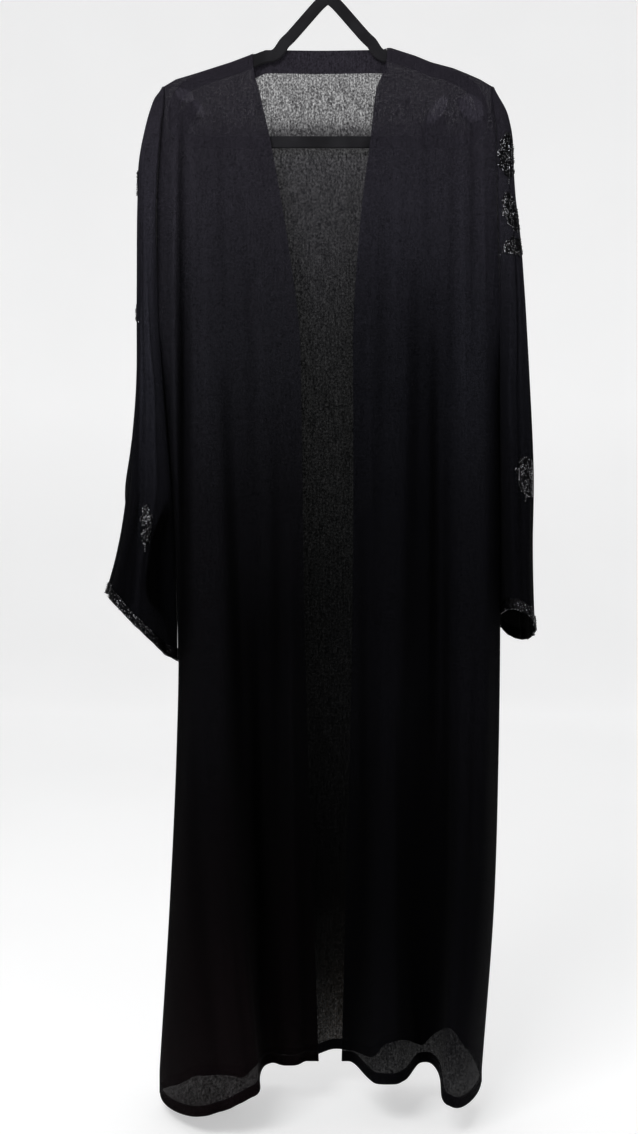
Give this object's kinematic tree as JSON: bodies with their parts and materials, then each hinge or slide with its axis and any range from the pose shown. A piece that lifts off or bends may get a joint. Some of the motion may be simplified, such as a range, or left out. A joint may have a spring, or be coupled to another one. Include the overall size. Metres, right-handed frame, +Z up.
{
  "type": "open-front abaya cloak on a clothes hanger",
  "caption": "Open black abaya with wide sleeves and beaded leaf appliques, hanging on a slim flocked hanger.",
  "frame": {"origin": "the point on the underside of the hook's top where a rail carries the hanger", "axes": "+Z up, the front of the garment faces -Y, +X is the wearer's left and the picture's right"},
  "size_m": [0.5848, 0.198, 1.5718],
  "materials": {
    "cloth": "semi-sheer black crepe georgette",
    "beads": "black glass beads sewn on",
    "flock": "black flocked plastic",
    "hook": "plated steel wire"
  },
  "bodies": {
    "root": {"back": "cloth", "front_right": "cloth", "front_left": "cloth", "sleeve_right": "cloth", "sleeve_left": "cloth", "neck_facing": "cloth", "cuff_trim_right": "beads", "cuff_trim_left": "beads", "leaf_left_1": "beads", "leaf_left_2": "beads", "leaf_left_3": "beads", "leaf_left_4": "beads", "leaf_left_5": "beads", "leaf_right_1": "beads", "leaf_right_2": "beads", "leaf_right_3": "beads", "leaf_right_4": "beads", "leaf_shoulder_left_1": "beads", "leaf_shoulder_left_2": "beads", "leaf_shoulder_right": "beads", "hanger_body": "flock", "hanger_hook": "hook"}
  },
  "joints": []
}
